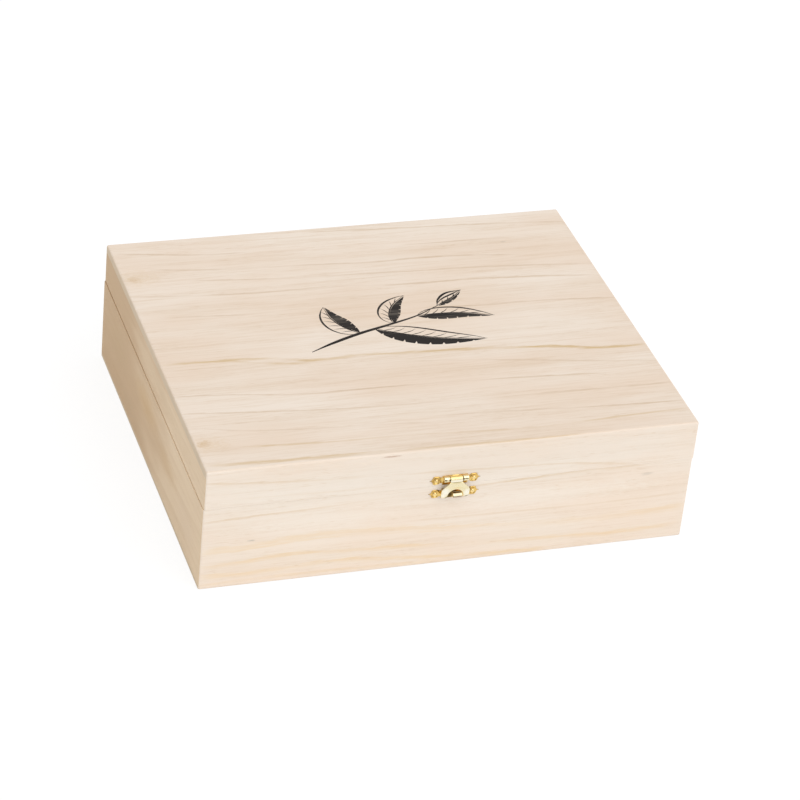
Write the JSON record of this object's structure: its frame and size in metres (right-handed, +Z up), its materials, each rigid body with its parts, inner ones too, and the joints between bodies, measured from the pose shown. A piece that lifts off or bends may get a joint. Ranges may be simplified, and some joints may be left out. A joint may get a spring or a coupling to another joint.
{
  "type": "compartmented wooden tea bag box",
  "caption": "Shallow hinged box of pale wood with a swing latch on the front and open compartments inside, sized to hold tea sachets standing on edge.",
  "frame": {"origin": "middle of the case's underside, which is the resting face", "axes": "+X to the right along the front, +Y to the back where the hinges are, +Z up"},
  "size_m": [0.2805, 0.2445, 0.077],
  "materials": {
    "case_wood": "sanded, unfinished pale wood with fine straight grain",
    "divider_wood": "sanded, unfinished thin boards",
    "latch_brass": "bright yellow plated, polished",
    "hinge_brass": "yellow plated, satin"
  },
  "bodies": {
    "base": {"base_front": "case_wood", "base_back": "case_wood", "base_left": "case_wood", "base_right": "case_wood", "bottom_panel": "case_wood", "long_divider_1": "divider_wood", "long_divider_2": "divider_wood", "cross_divider_1": "divider_wood", "cross_divider_2": "divider_wood", "cross_divider_3": "divider_wood", "hinge_base_leaf_left": "hinge_brass", "hinge_base_leaf_right": "hinge_brass", "hinge_pin_left": "hinge_brass", "hinge_pin_right": "hinge_brass", "hinge_base_screws": "hinge_brass", "latch_catch": "latch_brass", "catch_nails": "latch_brass"},
    "lid": {"lid_front": "case_wood", "lid_back": "case_wood", "lid_left": "case_wood", "lid_right": "case_wood", "lid_top_panel": "case_wood", "hinge_lid_leaf_left": "hinge_brass", "hinge_lid_leaf_right": "hinge_brass", "hinge_lid_screws": "hinge_brass", "latch_plate": "latch_brass", "latch_nails": "latch_brass", "latch_pin": "latch_brass"},
    "hasp": {"latch_hasp": "latch_brass"}
  },
  "joints": [
    {"name": "lid_hinge", "type": "hinge", "parent": "base", "child": "lid", "pos_m": [0, 0.1198, 0.05265], "axis": [-1, 0, 0], "range_deg": [0, 180]},
    {"name": "hasp_hinge", "type": "hinge", "parent": "lid", "child": "hasp", "pos_m": [0.0004, -0.1199, 0.0576], "axis": [-1, 0, 0], "range_deg": [0, 180]}
  ]
}
